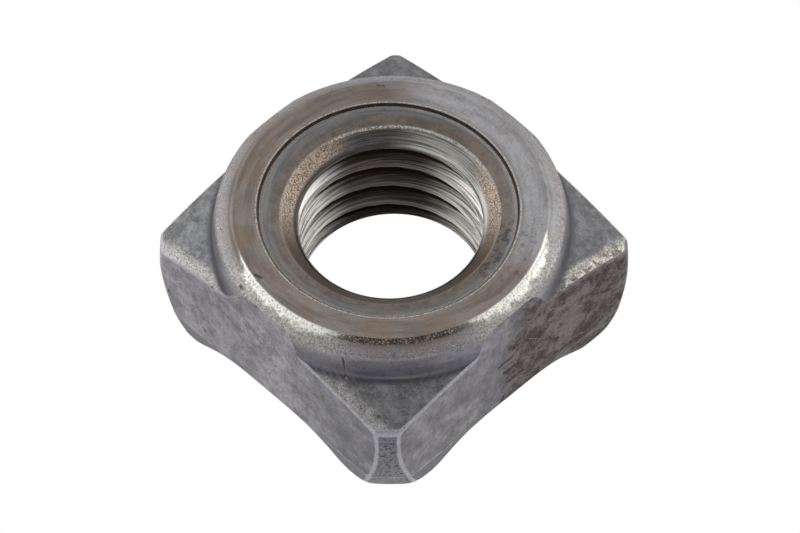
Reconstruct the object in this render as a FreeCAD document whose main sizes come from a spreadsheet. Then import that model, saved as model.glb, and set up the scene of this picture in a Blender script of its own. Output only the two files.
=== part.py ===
import FreeCAD, Part
import math
import os
import Sketcher
from FreeCAD import Vector

# Square weld nut, in millimetres
# The bore axis is Z, the soles of the four feet lie on z = 0 and the flats face X and Y.
# A turned form gives the boss, the sloping corners with their rounded ends, the bore
# and the feet. Four flats are cut from it, and its edges are then rounded.

NODE = "square_weld_nut"
SIDES = 4
ON_FACE = 1e-4  # how near a point counts as lying on a flat
ON_RING = 0.02  # how near an edge counts as one corner's ring

# Driving sizes
SIZES = [
    ("across_flats", 19.0, "distance between opposite flats"),
    ("nut_height", 9.5, "soles to top ring"),
    ("foot_height", 1.4, "soles to the underside"),
    ("foot_gap", 0.4, "ring where the feet start, outside the middle of a flat"),
    ("sole_width", 0.837, "sole, from its inner edge to the corner's end"),
    ("foot_side_inset", 0.15, "sole set back from the flat above it"),
    ("bore_radius", 5.1, "minor radius of the thread"),
    ("sink_width", 1.1, "each countersink, seen from above"),
    ("sink_angle", 30.0, "countersink against the level, degrees"),
    ("dish_width", 1.05, "countersink's mouth to the inner edge of the top ring"),
    ("dish_step", 0.15, "drop at the inner edge of the top ring"),
    ("dish_depth", 0.5, "top ring down to the countersink's mouth"),
    ("boss_overlap", 0.03, "lower edge of the boss's bevel, outside the middle of a flat"),
    ("bevel_width", 0.78, "bevel between the top ring and the boss's side, seen from above"),
    ("bevel_drop", 0.6, "height of that bevel"),
    ("boss_flare", 0.49, "how much wider the boss is at its foot than below the bevel"),
    ("boss_height", 2.28, "top ring down to the foot of the boss"),
    ("corner_slope", 19.0, "fall of the corners, degrees"),
    ("corner_cut", 0.585, "corner's end, inside where two flats would meet"),
    ("corner_centre", 5.0, "height of the centre of the ball that rounds the corner ends"),
    ("shoulder_round", 0.9, "rounding below the bevel"),
    ("foot_hollow_round", 1.0, "hollow where a foot leaves the underside"),
    ("foot_crest_round", 0.5, "rounding at the inner edge of each sole"),
    ("boss_foot_round", 0.4, "hollow round the foot of the boss"),
    ("corner_top_round", 0.45, "rounding at the outer end of each corner"),
    ("sole_round", 0.25, "rounding at the outer edge of each sole"),
    ("edge_round", 0.22, "worn edges round the flats"),
]
VALUE = {name: number for name, number, note in SIZES}

# Sketcher's numbers for the start, end and centre of a curve, and for the two axes
START, END, CENTRE = range(1, 4)
LEVEL_AXIS, UPRIGHT_AXIS = -1, -2


# Lengths that follow from the sizes

class Length:
    # a number with the rule that ties it to the sheet, so that each formula is written once

    def __init__(self, number, rule=None):
        self.number = number
        self.rule = rule

    def __add__(self, other):
        return Length(self.number + other.number, "(%s + %s)" % (self.rule, other.rule))

    def __sub__(self, other):
        return Length(self.number - other.number, "(%s - %s)" % (self.rule, other.rule))

    def __mul__(self, other):
        return Length(self.number * other.number, "(%s * %s)" % (self.rule, other.rule))


def size(name):
    return Length(VALUE[name], "sizes." + name)


def plain(number):
    return Length(number, "%g" % number)


def root(square):
    return Length(math.sqrt(square.number), "sqrt(%s)" % square.rule)


def tangent(name):
    return Length(math.tan(math.radians(VALUE[name])), "tan(sizes.%s)" % name)


def half_flats():
    return size("across_flats") * plain(0.5)


def ball_radius():
    # the ball reaches almost to the corners where the flats would meet
    return half_flats() * root(plain(2)) - size("corner_cut")


# Document helpers

def add_sheet(doc):
    sheet = doc.addObject("Spreadsheet::Sheet", "sizes")
    for row, (name, number, note) in enumerate(SIZES, start=1):
        sheet.set("A%d" % row, name)
        sheet.set("B%d" % row, str(number))
        sheet.set("C%d" % row, note)
        sheet.setAlias("B%d" % row, name)
    doc.recompute()


def origin_feature(body, role):
    for feature in body.Origin.OriginFeatures:
        if feature.Role == role:
            return feature
    raise RuntimeError("no origin feature called " + role)


def add_sketch(body, name, plane):
    sketch = body.newObject("Sketcher::SketchObject", name)
    sketch.AttachmentSupport = [(origin_feature(body, plane), "")]
    sketch.MapMode = "FlatFace"
    return sketch


def bind(sketch, kind, arguments, length, label):
    number = sketch.addConstraint(Sketcher.Constraint(kind, *arguments, length.number))
    sketch.renameConstraint(number, label)
    sketch.setExpression("Constraints." + label, length.rule)


def close_outline(sketch, count):
    for i in range(count):
        sketch.addConstraint(Sketcher.Constraint("Coincident", i, END, (i + 1) % count, START))


# Section of the turned form

def corner_top(boss_foot_out, boss_foot_up):
    # where the corner's slope, laid through the boss's foot, meets the ball
    slope = math.tan(math.radians(VALUE["corner_slope"]))
    out = boss_foot_out.number
    up = boss_foot_up.number - VALUE["corner_centre"]
    a = 1 + slope ** 2
    b = 2 * (out - slope * up)
    c = out ** 2 + up ** 2 - ball_radius().number ** 2
    step = (-b + math.sqrt(b ** 2 - 4 * a * c)) / (2 * a)
    return Length(out + step), Length(up - slope * step + VALUE["corner_centre"])


def section_corners():
    # each corner's name, distance out and height; those with no rule are held by their neighbours
    height = size("nut_height")
    foot = size("foot_height")
    bore = size("bore_radius")
    sink = bore + size("sink_width")
    dish = sink + size("dish_width")
    bevel = half_flats() + size("boss_overlap")
    boss_foot = bevel + size("boss_flare")
    boss_foot_up = height - size("boss_height")
    sink_drop = size("sink_width") * tangent("sink_angle")
    sink_top = height - size("dish_depth")
    ball = ball_radius()
    sole_end = root(ball * ball - size("corner_centre") * size("corner_centre"))
    sole = Length(0)
    return [
        ("bore_low", bore, foot + sink_drop),
        ("sink_low", sink, foot),
        ("foot_start", half_flats() + size("foot_gap"), foot),
        ("sole_start", sole_end - size("sole_width"), sole),
        ("sole_end", Length(sole_end.number), sole),
        ("corner_top", *corner_top(boss_foot, boss_foot_up)),
        ("boss_foot", boss_foot, boss_foot_up),
        ("bevel_end", bevel, height - size("bevel_drop")),
        ("ring_edge", bevel - size("bevel_width"), height),
        ("dish_edge", dish, height),
        ("dish_floor", dish, height - size("dish_step")),
        ("sink_high", sink, sink_top),
        ("bore_high", bore, sink_top - sink_drop),
    ]


def turned_form(body):
    sketch = add_sketch(body, "section", "XZ_Plane")
    corners = section_corners()
    names = [name for name, out, up in corners]
    points = [Vector(out.number, up.number, 0) for name, out, up in corners]
    count = len(points)
    arc = names.index("sole_end")
    slope = names.index("corner_top")
    ball = ball_radius()
    centre = size("corner_centre")
    middle = Vector(0, centre.number, 0)
    for i, first in enumerate(points):
        last = points[(i + 1) % count]
        if i == arc:
            circle = Part.Circle(middle, Vector(0, 0, 1), ball.number)
            low = math.atan2(first.y - middle.y, first.x)
            high = math.atan2(last.y - middle.y, last.x)
            sketch.addGeometry(Part.ArcOfCircle(circle, low, high), False)
        else:
            sketch.addGeometry(Part.LineSegment(first, last), False)
    close_outline(sketch, count)
    for i, (name, out, up) in enumerate(corners):
        ends = (LEVEL_AXIS, START, i, START)
        if out.rule:
            bind(sketch, "DistanceX", ends, out, name + "_out")
        if up.rule:
            bind(sketch, "DistanceY", ends, up, name + "_up")
        if up.number == 0:
            sketch.addConstraint(Sketcher.Constraint("PointOnObject", i, START, LEVEL_AXIS))
    sketch.addConstraint(Sketcher.Constraint("PointOnObject", arc, CENTRE, UPRIGHT_AXIS))
    bind(sketch, "DistanceY", (LEVEL_AXIS, START, arc, CENTRE), centre, "ball_up")
    bind(sketch, "Radius", (arc,), ball, "ball_radius")
    turn = Length(math.radians(180 - VALUE["corner_slope"]), "180 deg - sizes.corner_slope * 1 deg")
    bind(sketch, "Angle", (slope,), turn, "slope_turn")
    turned = body.newObject("PartDesign::Revolution", "turned_form")
    turned.Profile = sketch
    turned.ReferenceAxis = (sketch, ["V_Axis"])
    turned.Angle = 360


# Flats

def cut_flats(body):
    # the cutter's outline beside one flat: upright above the foot, leaning in below it
    sketch = add_sketch(body, "flat_outline", "YZ_Plane")
    foot = size("foot_height")
    lean = half_flats() - size("foot_side_inset") * plain(2)
    out_of_reach = size("across_flats")
    over = size("nut_height") + foot
    corners = [
        (half_flats(), foot, 1),
        (half_flats(), over, 1),
        (out_of_reach, over, 1),
        (out_of_reach, foot, -1),
        (lean, foot, -1),
    ]
    points = [Vector(out.number, side * up.number, 0) for out, up, side in corners]
    for i, point in enumerate(points):
        sketch.addGeometry(Part.LineSegment(point, points[(i + 1) % len(points)]), False)
    close_outline(sketch, len(points))
    for i, (out, up, side) in enumerate(corners):
        bind(sketch, "DistanceX", (LEVEL_AXIS, START, i, START), out, "out%d" % i)
        # a height below the soles is measured the other way round, so that it stays positive
        ends = (LEVEL_AXIS, START, i, START) if side > 0 else (i, START, LEVEL_AXIS, START)
        bind(sketch, "DistanceY", ends, up, "up%d" % i)
    cut = body.newObject("PartDesign::Pocket", "flat_cut")
    cut.Profile = sketch
    cut.Midplane = True
    cut.setExpression("Length", (out_of_reach * plain(2)).rule)
    around = body.newObject("PartDesign::PolarPattern", "flats")
    around.Originals = [cut]
    around.Axis = (origin_feature(body, "Z_Axis"), [""])
    around.Angle = 360
    around.Occurrences = SIDES
    body.Tip = around


# Roundings

def ring_edges(shape, corner_name):
    # names of the round edges that the turned form's corner has left on the shape
    place = {name: (out.number, up.number) for name, out, up in section_corners()}
    out, up = place[corner_name]
    names = []
    for number, edge in enumerate(shape.Edges, start=1):
        curve = edge.Curve
        if not isinstance(curve, Part.Circle):
            continue
        if abs(curve.Radius - out) < ON_RING and abs(curve.Center.z - up) < ON_RING:
            names.append("Edge%d" % number)
    return names


def flat_edges(shape):
    # names of the edges that bound the flats, apart from their lower ends
    half = half_flats().number
    names = []
    for number, edge in enumerate(shape.Edges, start=1):
        samples = edge.discretize(5)
        beside = all(min(abs(abs(p.x) - half), abs(abs(p.y) - half)) < ON_FACE for p in samples)
        low = all(p.z < VALUE["foot_height"] + ON_FACE for p in samples)
        if beside and not low:
            names.append("Edge%d" % number)
    return names


def add_rounding(doc, body, name, cell, find_edges):
    doc.recompute()
    base = body.Tip
    rounding = body.newObject("PartDesign::Fillet", name)
    rounding.Base = (base, find_edges(base.Shape))
    rounding.setExpression("Radius", size(cell).rule)


def round_ring(doc, body, corner_name, cell):
    add_rounding(doc, body, "round_" + corner_name, cell, lambda shape: ring_edges(shape, corner_name))


# Build and write

def check(doc, body):
    for thing in doc.Objects:
        if "Invalid" in thing.State or "Error" in thing.State:
            raise RuntimeError(thing.Name + " failed: " + ", ".join(thing.State))
    if body.Shape.isNull() or not body.Shape.isValid():
        raise RuntimeError(body.Label + " has no valid shape")
    if len(body.Shape.Solids) != 1:
        raise RuntimeError(body.Label + " isn't one solid")


def main():
    doc = FreeCAD.newDocument(NODE)
    add_sheet(doc)
    body = doc.addObject("PartDesign::Body", NODE)
    body.Label = NODE
    turned_form(body)
    round_ring(doc, body, "bevel_end", "shoulder_round")
    cut_flats(body)
    round_ring(doc, body, "foot_start", "foot_hollow_round")
    round_ring(doc, body, "sole_start", "foot_crest_round")
    round_ring(doc, body, "boss_foot", "boss_foot_round")
    round_ring(doc, body, "corner_top", "corner_top_round")
    round_ring(doc, body, "sole_end", "sole_round")
    add_rounding(doc, body, "worn_edges", "edge_round", flat_edges)
    doc.recompute()
    check(doc, body)
    os.makedirs("parts", exist_ok=True)
    body.Shape.exportStep("parts/%s.step" % body.Label)
    print("volume %.2f mm3, faces %d" % (body.Shape.Volume, len(body.Shape.Faces)))


main()
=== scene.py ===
# %% [markdown]
# # A worn square weld nut
#
# The real object is one small steel part. A square of bar is pressed so that a round boss
# stands up from its top, its four corners slope away, and four little feet stay under the
# corners. Then a thread is cut through the middle. It has been handled for years: the faces
# are dull and purple-grey, and every edge is rubbed pale.
#
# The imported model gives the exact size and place. This script keeps that size and builds the
# looks round it: a finer skin with rounded edges and a real thread, and one steel that
# changes from zone to zone.

# %% Load the frame
import bmesh
import bpy
import math
import numpy as np
from mathutils import Matrix, Vector


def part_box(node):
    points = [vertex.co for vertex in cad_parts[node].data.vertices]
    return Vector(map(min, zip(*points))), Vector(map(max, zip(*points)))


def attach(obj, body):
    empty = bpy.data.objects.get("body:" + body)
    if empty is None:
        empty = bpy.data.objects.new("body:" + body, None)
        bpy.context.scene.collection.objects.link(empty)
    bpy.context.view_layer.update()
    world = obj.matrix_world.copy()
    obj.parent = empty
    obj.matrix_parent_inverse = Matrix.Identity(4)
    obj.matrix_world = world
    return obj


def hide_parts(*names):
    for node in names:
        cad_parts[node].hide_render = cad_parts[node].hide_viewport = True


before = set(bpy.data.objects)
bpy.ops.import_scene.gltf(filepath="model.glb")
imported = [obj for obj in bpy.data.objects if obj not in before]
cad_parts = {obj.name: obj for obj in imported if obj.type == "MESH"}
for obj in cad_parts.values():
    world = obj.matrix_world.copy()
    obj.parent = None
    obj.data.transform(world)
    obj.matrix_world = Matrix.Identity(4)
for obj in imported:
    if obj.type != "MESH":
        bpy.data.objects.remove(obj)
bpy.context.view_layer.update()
MM = 0.001
CAD_NODE = "square_weld_nut"
low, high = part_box(CAD_NODE)
HALF = high.x / MM
TOP = high.z / MM
print("across flats %.2f mm, height %.2f mm" % (2 * HALF, TOP - low.z / MM))

# %% [markdown]
# ## The camera first
#
# A product photo is best matched camera first, because every later judgement depends on it.
# The place below was worked out from the edges of the nut: it stands half a metre away,
# looks down by about 54 degrees at one corner, and uses a very long lens.

# %% Camera
PHOTO_WIDTH = 800
FOCAL_PIXELS = 9114.5
CAMERA_DISTANCE = 500.0
CAMERA_AZIMUTH = math.radians(47.603)
CAMERA_ELEVATION = math.radians(54.221)
CAMERA_ROLL = math.radians(-1.983)
CAMERA_SIDE = 0.537
CAMERA_RISE = -3.196
AIM = Vector((-0.032, 0.036, 9.5))
CLIP_NEAR = 0.01
CLIP_FAR = 10.0


def add_camera():
    back = Vector((math.sin(CAMERA_AZIMUTH) * math.cos(CAMERA_ELEVATION),
                   -math.cos(CAMERA_AZIMUTH) * math.cos(CAMERA_ELEVATION),
                   math.sin(CAMERA_ELEVATION)))
    level = Vector((math.cos(CAMERA_AZIMUTH), math.sin(CAMERA_AZIMUTH), 0))
    upright = back.cross(level)
    right = math.cos(CAMERA_ROLL) * level + math.sin(CAMERA_ROLL) * upright
    up = math.cos(CAMERA_ROLL) * upright - math.sin(CAMERA_ROLL) * level
    place = AIM + CAMERA_DISTANCE * back + CAMERA_SIDE * right + CAMERA_RISE * up
    data = bpy.data.cameras.new("camera")
    data.lens = data.sensor_width * FOCAL_PIXELS / PHOTO_WIDTH
    data.clip_start = CLIP_NEAR
    data.clip_end = CLIP_FAR
    camera = bpy.data.objects.new("camera", data)
    bpy.context.scene.collection.objects.link(camera)
    turn = Matrix((right, up, back)).transposed().to_4x4()
    camera.matrix_world = Matrix.Translation(place * MM) @ turn
    bpy.context.scene.camera = camera
    print("lens %.0f mm on a %.0f mm sensor" % (data.lens, data.sensor_width))


add_camera()

# %% [markdown]
# ## The skin as a grid
#
# The nut could be cut with booleans, but their edges are hard to round and to wear. It is
# simpler to see the nut as a lathe form whose outer radius depends on the angle: a flat is a
# limit of radius 9.5 / cos(angle), and a corner's end is a ball. So the skin is a grid. One
# direction goes round the bore axis, the other goes along the section: up the bore, out over
# the dish, ring and bevel, down the boss and the corner, down the side and back underneath.
# More columns stand at the corners, where the shape turns quickly.

# %% Sizes of the section
# radii of the bore, the countersinks, the dish and the ring, in millimetres
BORE = 5.1
SINK = 6.0
DISH = 7.25
RING = 8.75
# heights and drops
FOOT = 1.4
SINK_DROP = 0.79
LOW_SINK_DROP = 0.64
DISH_STEP = 0.15
DISH_DEPTH = 0.5
# turning points of the outside, as radius and height
RIM = (8.93, TOP - 0.27)
SHOULDER = (9.66, TOP - 0.64)
BOSS_FOOT = (9.88, TOP - 2.24)
CORNER_TIP = (12.85, TOP - 3.26)
CORNER_FALL = math.tan(math.radians(19))
# the ball that rounds the corner ends, and the feet's inner ramp
BALL = 12.85
BALL_HEIGHT = 5.0
FOOT_START = 9.9
SOLE_START = 11.0
SOLE_INSET = 0.15
# where each corner points, in degrees, named as the camera sees them
CORNERS = {"right": 45, "back": 135, "left": 225, "front": 315}
print("section from %.1f mm at the bore to %.2f mm at the corner's tip" % (BORE, CORNER_TIP[0]))

# %% Columns round the axis
# turns from the middle of a flat, and the number of columns up to the next one: they stand
# close together where the flat cuts into the boss, and at the corner
FLATS = (0, 90, 180, 270)
TURNS = (-35.5, -18.5, -9.0, 9.0, 18.5, 35.5, 54.5)
COLUMNS_BETWEEN = (7, 18, 10, 18, 7, 40)


def column_angles():
    angles = []
    for middle in FLATS:
        for start, end, count in zip(TURNS, TURNS[1:], COLUMNS_BETWEEN):
            angles.append(np.linspace(middle + start, middle + end, count, endpoint=False))
    return np.radians(np.concatenate(angles))


THETA = column_angles()
COLUMNS = len(THETA)
print("columns", COLUMNS)

# %% Helpers for turns
def bump(x, middle, width):
    # a soft hill: 1 at the middle, gone at about twice the width
    return np.exp(-((x - middle) / width) ** 2)


def turn_between(angles, degrees):
    # shortest turn from a direction to each column, in degrees
    return (np.degrees(angles) - degrees + 180) % 360 - 180


def per_corner(values, angles, width):
    # a value for each corner, fading out with the turn away from it
    total = 0.0
    for name, turn in CORNERS.items():
        total = total + values[name] * bump(turn_between(angles, turn), 0, width)
    return total


# %% [markdown]
# ## Outer radius
#
# The side of the nut is where two limits meet: the flat, and the ball that rounds the corner
# ends. A smooth minimum of the two gives the edge between them a worn radius of its own. Below
# the underside the flats lean in a little, which is the foot's own side.
#
# A pressed part is never quite regular, so each corner has a few hundredths or tenths of a
# millimetre of its own.

# %% What each corner has of its own
CORNER_REACH = {"right": 0.20, "back": 0.40, "left": -0.03, "front": 0.0}
FOOT_REACH = {"right": 0.04, "back": 0.0, "left": -0.20, "front": 0.0}
FOOT_SHIFT = {"right": -0.22, "back": 0.0, "left": 0.08, "front": 0.0}
BOSS_SHIFT = {"right": 0.03, "back": 0.0, "left": 0.06, "front": -0.08}
STEEPER = {"right": 0.06, "back": 0.05, "left": 0.08, "front": 0.0}
# how far round each of these reaches, in degrees
REACH_WIDTH = 12
FOOT_SHIFT_WIDTH = 25
BOSS_SHIFT_WIDTH = 32
STEEPER_WIDTH = 40

# %% Outer radius at an angle and height
EDGE_BLEND = 0.10
FOOT_BLEND = 0.50
LEAN_CURVE = 0.8


def smooth_min(a, b, blend):
    h = np.clip(0.5 + 0.5 * (b - a) / blend, 0, 1)
    return b * (1 - h) + a * h - blend * h * (1 - h)


def flat_limit(angles, heights):
    lean = SOLE_INSET * np.clip((FOOT - heights) / FOOT, 0, 1) ** LEAN_CURVE
    nearest = np.maximum(np.abs(np.cos(angles)), np.abs(np.sin(angles)))
    return (HALF - lean) / nearest


def ball_limit(angles, heights):
    below = np.clip((BALL_HEIGHT - heights) / BALL_HEIGHT, 0, 1)
    reach = per_corner(CORNER_REACH, angles, REACH_WIDTH) + below * per_corner(FOOT_REACH, angles, REACH_WIDTH)
    return np.sqrt((BALL + reach) ** 2 - (heights - BALL_HEIGHT) ** 2)


def outer_radius(angles, heights):
    in_foot = np.clip((FOOT - heights) / FOOT, 0, 1)
    blend = EDGE_BLEND + FOOT_BLEND * in_foot ** 2
    return smooth_min(flat_limit(angles, heights), ball_limit(angles, heights), blend)


for corner_name, degrees in CORNERS.items():
    print("%s corner reaches %.2f mm" % (corner_name, outer_radius(math.radians(degrees), BALL_HEIGHT)))

# %% [markdown]
# ## One column of the section
#
# Each column is worked out as a polyline: the top, from the bore's mouth outwards, is followed
# until it meets the side. The meeting point becomes a small rounded edge, then the side is
# followed down to the foot, and the underside back to the bore. Rows keep their meaning from
# column to column, so that an edge runs along a row and stays clean.

# %% Top and bottom as functions of the radius
RIM_ROUND = 0.10
SHOULDER_ROUND = 0.45
HOLLOW_ROUND = 0.45
RAMP_ROUND = 0.5
SOLE_ROUND = 0.3
# a small notch beside the boss, over the left corner
NOTCH_TURN = 251
NOTCH_REACH = 0.13
NOTCH_WIDTH = 8


def line_height(r, start, end):
    return start[1] + (r - start[0]) * (end[1] - start[1]) / (end[0] - start[0])


def top_height(r, angle):
    # down the ring's little rim, over the shoulder, down the flank, and out along the corner
    notch = NOTCH_REACH * bump(turn_between(angle, NOTCH_TURN), 0, NOTCH_WIDTH)
    foot = (BOSS_FOOT[0] + per_corner(BOSS_SHIFT, angle, BOSS_SHIFT_WIDTH) + notch, BOSS_FOOT[1])
    fall = CORNER_FALL + per_corner(STEEPER, angle, STEEPER_WIDTH)
    rim = line_height(r, (RING, TOP), RIM)
    shoulder = line_height(r, RIM, SHOULDER)
    flank = line_height(r, SHOULDER, foot)
    slope = CORNER_TIP[1] + fall * (CORNER_TIP[0] - r)
    over = -smooth_min(-rim, -shoulder, RIM_ROUND)
    boss = smooth_min(over, flank, SHOULDER_ROUND)
    return -smooth_min(-boss, -slope, HOLLOW_ROUND)


def under_height(r, angle):
    # the flat underside, then the ramp down to the sole of the foot
    sole_start = SOLE_START + per_corner(FOOT_SHIFT, angle, FOOT_SHIFT_WIDTH)
    ramp = FOOT * (sole_start - r) / (SOLE_START - FOOT_START)
    lower = smooth_min(np.full(np.shape(r), FOOT), ramp, RAMP_ROUND)
    return -smooth_min(-lower, np.zeros(np.shape(r)), SOLE_ROUND)


# %% Roundness of the edges
EDGE_ROUND = 0.16
FRONT_EDGE_ROUND = 0.16
FRONT_WIDTH = 5
SHARPER_AT_BOSS = 0.10
BOSS_CUT_WIDTH = 12
LOW_EDGE_ROUND = 0.28
SHARPER_BELOW = 0.16
LOW_WIDTH = 36


def edge_rounds(angle):
    # the edge is rounder at the end of the front corner, which took most of the knocks, and
    # sharper where a flat cuts the boss
    from_flat = abs((math.degrees(angle) + 45) % 90 - 45)
    at_front = bump(turn_between(angle, CORNERS["front"]), 0, FRONT_WIDTH)
    upper = EDGE_ROUND + FRONT_EDGE_ROUND * at_front - SHARPER_AT_BOSS * bump(from_flat, 0, BOSS_CUT_WIDTH)
    lower = LOW_EDGE_ROUND - SHARPER_BELOW * bump(turn_between(angle, 0), 0, LOW_WIDTH)
    return upper, lower


print("edge at a flat %.2f mm, at the front corner %.2f mm"
      % (edge_rounds(0.0)[0], edge_rounds(math.radians(CORNERS["front"]))[0]))

# %% Helpers for polylines
FINE = 700


def up_to_side(start, end, height_at, angle):
    # a surface followed outwards from a radius, and cut at its first sample outside the side
    radii = np.linspace(start, end, FINE)
    heights = height_at(radii, angle)
    outside = radii > outer_radius(angle, heights)
    last = int(np.argmax(outside)) if outside.any() else FINE - 1
    return np.stack([radii[:last + 1], heights[:last + 1]], -1)


def steps_along(points):
    return np.r_[0, np.cumsum(np.hypot(*np.diff(points, axis=0).T))]


def resample(points, count, skip_first=False):
    steps = steps_along(points)
    wanted = np.linspace(0, steps[-1], count)
    if skip_first:
        wanted = wanted[1:]
    return np.stack([np.interp(wanted, steps, points[:, 0]), np.interp(wanted, steps, points[:, 1])], -1)


def trim(points, length):
    # the polyline with its last bit of the given length taken off, and the cut point
    steps = steps_along(points)
    keep = steps[-1] - length
    cut = np.array([np.interp(keep, steps, points[:, 0]), np.interp(keep, steps, points[:, 1])])
    return np.vstack([points[steps < keep], cut])


def rounded(first, corner, last, rows):
    t = np.linspace(0, 1, rows + 2)[1:-1, None]
    return (1 - t) ** 2 * first + 2 * t * (1 - t) * corner + t ** 2 * last


# %% Rows of the outside
TOP_ROWS = 40
SIDE_ROWS = 30
FOOT_ROWS = 8
EDGE_ROWS = 6
UNDER_ROWS = 22
TOP_SEARCH = 13.8
UNDER_SEARCH = 13.6
CREASE_GAP = 0.35


def outer_column(angle):
    edge_round, low_round = edge_rounds(angle)
    top = up_to_side(RING, TOP_SEARCH, top_height, angle)
    under = up_to_side(SINK, UNDER_SEARCH, under_height, angle)
    levels = np.linspace(top[-1, 1], under[-1, 1], FINE)
    side = np.stack([outer_radius(np.full(FINE, angle), levels), levels], -1)
    top_corner, low_corner = side[0], side[-1]
    top = trim(top, edge_round)
    under = trim(under, low_round)
    side = trim(trim(side, low_round)[::-1], edge_round)[::-1]
    crease = max(FOOT, side[-1, 1] + CREASE_GAP)
    upper = side[side[:, 1] >= crease]
    lower = np.vstack([upper[-1:], side[side[:, 1] < crease]])
    parts = [
        resample(top, TOP_ROWS),
        rounded(top[-1], top_corner, side[0], EDGE_ROWS),
        resample(upper, SIDE_ROWS),
        resample(lower, FOOT_ROWS, skip_first=True),
        rounded(side[-1], low_corner, under[-1], EDGE_ROWS),
        resample(under[::-1], UNDER_ROWS),
    ]
    return np.vstack(parts), [len(part) for part in parts]


outer_columns = [outer_column(angle) for angle in THETA]
OUTSIDE_PARTS = outer_columns[0][1]
outside = np.stack([points for points, lengths in outer_columns], 1)
print("outside rows", outside.shape[0], "parts", OUTSIDE_PARTS)

# %% [markdown]
# ## Dish, countersinks and bore
#
# Inside, all rows are plain rings. The step between ring and dish isn't quite round on the real
# part: the punch sat a little off, so its radius changes by a few percent round the nut. Where
# the punch ended, it left a narrow gutter and pushed up a burr beside it.

# %% The punch that struck the dish
VIEW_RIGHT = 47.6
DISH_SCALE = 0.994
OFF_CENTRE = 0.015
OFF_CENTRE_TURN = math.radians(177)
OVAL = 0.008
OVAL_TURN = math.radians(59)


def seen_turn(angles):
    # the turn as the camera sees it: clockwise from the right, 90 nearest the camera
    return VIEW_RIGHT - np.degrees(angles)


def dish_factor(angles):
    # the punch sat off centre towards the left corner, and struck a slightly oval dish
    seen = np.radians(seen_turn(angles))
    off_centre = OFF_CENTRE * np.cos(seen - OFF_CENTRE_TURN)
    oval = OVAL * np.cos(2 * (seen - OVAL_TURN))
    return DISH_SCALE + off_centre + oval


dish_radius = DISH * dish_factor(THETA)
print("dish radius from %.2f to %.2f mm" % (dish_radius.min(), dish_radius.max()))

# %% Rows of the inside
LOW_SINK_ROWS = 7
BORE_ROWS = 90
UPPER_SINK_ROWS = 11
DISH_ROWS = 7
RING_ROWS = 9
SINK_TOP = TOP - DISH_DEPTH
BORE_TOP = SINK_TOP - SINK_DROP
BORE_LOW = FOOT + LOW_SINK_DROP
# the gutter at the dish's edge: place beside the edge, and height over the dish
STEP_LINE = ((-0.15, 0.0), (-0.09, 0.0), (-0.06, -0.02), (-0.02, -0.05), (0.02, -0.02),
             (0.04, 0.12), (0.06, DISH_STEP), (0.12, DISH_STEP), (0.18, DISH_STEP))


def between(count):
    # shares from 0 to 1, without the two ends
    return np.linspace(0, 1, count + 2)[1:-1]


def ring_row(radius, height):
    return np.stack([np.broadcast_to(radius, (COLUMNS,)), np.full(COLUMNS, height)], -1)


def ring_rows(start, end, shares):
    # rings from one radius and height to another
    return [ring_row(start[0] + (end[0] - start[0]) * t, start[1] + (end[1] - start[1]) * t) for t in shares]


def inner_rows():
    dish_floor = TOP - DISH_STEP
    dish_end = dish_radius + STEP_LINE[0][0]
    ring_start = dish_radius + STEP_LINE[-1][0]
    up_to_rim = np.append(between(UPPER_SINK_ROWS - 1), 1.0)
    parts = [
        ring_rows((SINK, FOOT), (BORE, BORE_LOW), between(LOW_SINK_ROWS)),
        [ring_row(BORE, z) for z in np.linspace(BORE_LOW, BORE_TOP, BORE_ROWS)],
        ring_rows((BORE, BORE_TOP), (SINK, SINK_TOP), up_to_rim),
        ring_rows((SINK, SINK_TOP), (dish_end, dish_floor), between(DISH_ROWS)),
        [ring_row(dish_radius + aside, dish_floor + rise) for aside, rise in STEP_LINE],
        ring_rows((ring_start, TOP), (RING, TOP), between(RING_ROWS)),
    ]
    return np.stack([row for part in parts for row in part]), [len(part) for part in parts]


inside, INSIDE_PARTS = inner_rows()
section = np.vstack([inside, outside])
ROWS = section.shape[0]
print("rows", ROWS, "faces", ROWS * COLUMNS, "inside parts", INSIDE_PARTS)

# %% Row numbers of each zone
ZONE_NAMES = ["lower_sink", "bore", "upper_sink", "dish", "step", "ring",
              "top", "top_edge", "side", "foot_side", "low_edge", "under"]
ZONE_ENDS = np.cumsum([0] + INSIDE_PARTS + OUTSIDE_PARTS)
ZONE = {name: (ZONE_ENDS[i], ZONE_ENDS[i + 1]) for i, name in enumerate(ZONE_NAMES)}
for zone_name, (first, last) in ZONE.items():
    print("%-10s rows %d to %d" % (zone_name, first, last - 1))

# %% [markdown]
# ## Where the finish changes
#
# On the real nut the finish follows how each zone was made and used. The dish was struck
# smooth, the countersink cut rough, the bevel rubbed bright where it met other nuts. Each
# zone is written on the skin as a mask from 0 to 1, because the grid already knows, row by
# row, where it is. The material then only has to say what each mask looks like.

# %% Helpers for masks
NEAR_CORNER = 46


def zone_rows(name):
    rows = np.zeros((ROWS, COLUMNS))
    rows[ZONE[name][0]:ZONE[name][1]] = 1
    return rows


def step_up(values, start, end):
    share = np.clip((values - start) / (end - start), 0, 1)
    return share * share * (3 - 2 * share)


def arc(degrees, half_width, soft):
    # 1 within an arc of the seen turn, fading out over the soft part
    off = (seen_turn(THETA) - degrees + 180) % 360 - 180
    share = 1 - step_up(np.abs(off), half_width, half_width + soft)
    return np.broadcast_to(share, (ROWS, COLUMNS))


def corner_near(name):
    return (np.abs(turn_between(THETA, CORNERS[name])) < NEAR_CORNER).astype(float)


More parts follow.
